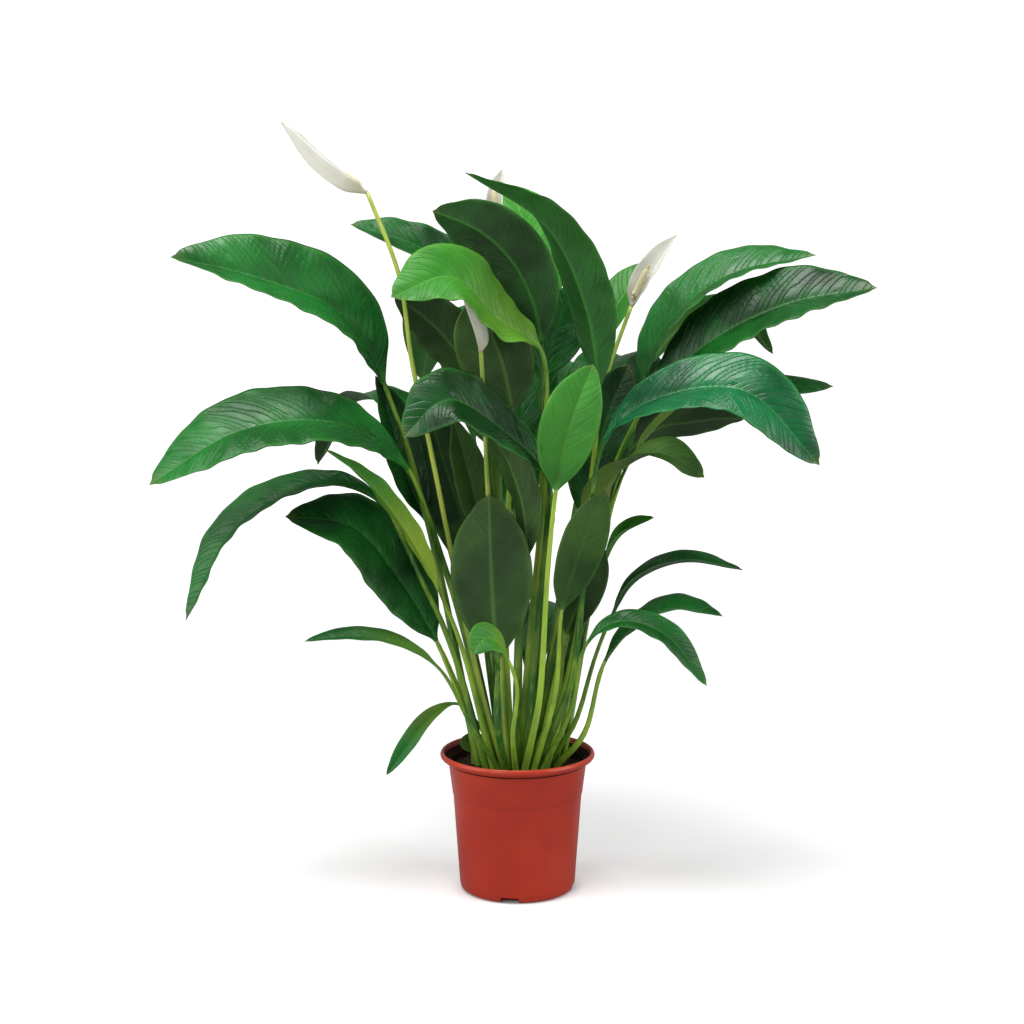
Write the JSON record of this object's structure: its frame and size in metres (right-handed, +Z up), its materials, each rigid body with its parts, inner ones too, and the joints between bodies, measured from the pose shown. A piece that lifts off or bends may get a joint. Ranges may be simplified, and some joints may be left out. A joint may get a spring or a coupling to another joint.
{
  "type": "potted peace lily",
  "caption": "Leafy peace lily with long arching leaves and white flowers on tall stalks, standing in a round tapered nursery pot.",
  "frame": {"origin": "middle of the pot's underside, where it stands", "axes": "+Z up the plant, -Y to the front, +X to the right as seen from the front"},
  "size_m": [0.7372, 0.4726, 0.8329],
  "materials": {
    "pot": "moulded terracotta-red plastic with a soft gloss",
    "soil": "dark moist peat",
    "leaf_deep": "glossy deep green leaf with pressed side veins",
    "leaf_fresh": "young bright green leaf, soft gloss",
    "leaf_olive": "paler dull leaf, mostly its underside",
    "leaf_teal": "blue-green leaf with a wet sheen",
    "stalk": "smooth yellow-green flower stalk",
    "spathe": "waxy white hood",
    "spadix": "bumpy cream column"
  },
  "bodies": {
    "root": {"pot": "pot", "soil": "soil", "leaf_left_high": "leaf_deep", "leaf_left_long": "leaf_deep", "leaf_left_droop": "leaf_deep", "leaf_left_low_arch": "leaf_deep", "leaf_left_thin": "leaf_deep", "leaf_left_strap": "leaf_deep", "leaf_crown_left": "leaf_deep", "leaf_crown_dark": "leaf_deep", "leaf_crown_bright": "leaf_fresh", "leaf_crown_shade": "leaf_olive", "leaf_gloss_left": "leaf_deep", "leaf_centre_front": "leaf_olive", "leaf_back_top": "leaf_fresh", "leaf_top_arch": "leaf_deep", "leaf_back_right_tip": "leaf_fresh", "leaf_right_high": "leaf_deep", "leaf_right_long": "leaf_deep", "leaf_right_broad": "leaf_teal", "leaf_right_back_tip": "leaf_fresh", "leaf_right_twist": "leaf_deep", "leaf_centre_bright": "leaf_fresh", "leaf_centre_dark": "leaf_deep", "leaf_centre_hang": "leaf_olive", "leaf_low_olive": "leaf_olive", "leaf_low_small": "leaf_fresh", "leaf_right_olive": "leaf_olive", "leaf_right_needle": "leaf_fresh", "leaf_right_veined": "leaf_olive", "leaf_right_bend": "leaf_olive", "leaf_right_under": "leaf_olive", "leaf_right_core": "leaf_deep", "leaf_back_gloss": "leaf_deep", "leaf_mid_upright": "leaf_olive", "leaf_shade_back": "leaf_olive", "leaf_left_spear": "leaf_fresh", "leaf_left_ridge": "leaf_deep", "leaf_low_right_top": "leaf_deep", "leaf_low_right_mid": "leaf_deep", "leaf_low_right_drop": "leaf_deep", "leaf_pot_round": "leaf_olive", "leaf_back_fan_1": "leaf_deep", "leaf_back_fan_2": "leaf_deep", "leaf_back_fan_3": "leaf_deep", "leaf_back_fan_4": "leaf_deep", "leaf_back_fan_5": "leaf_deep", "leaf_back_fan_6": "leaf_deep", "leaf_back_fan_7": "leaf_deep", "flower_left_stalk": "stalk", "flower_left_spathe": "spathe", "flower_left_spadix": "spadix", "flower_bud_stalk": "stalk", "flower_bud_spathe": "spathe", "flower_back_stalk": "stalk", "flower_back_spathe": "spathe", "flower_back_spadix": "spadix", "flower_right_stalk": "stalk", "flower_right_spathe": "spathe", "flower_right_spadix": "spadix"}
  },
  "joints": []
}
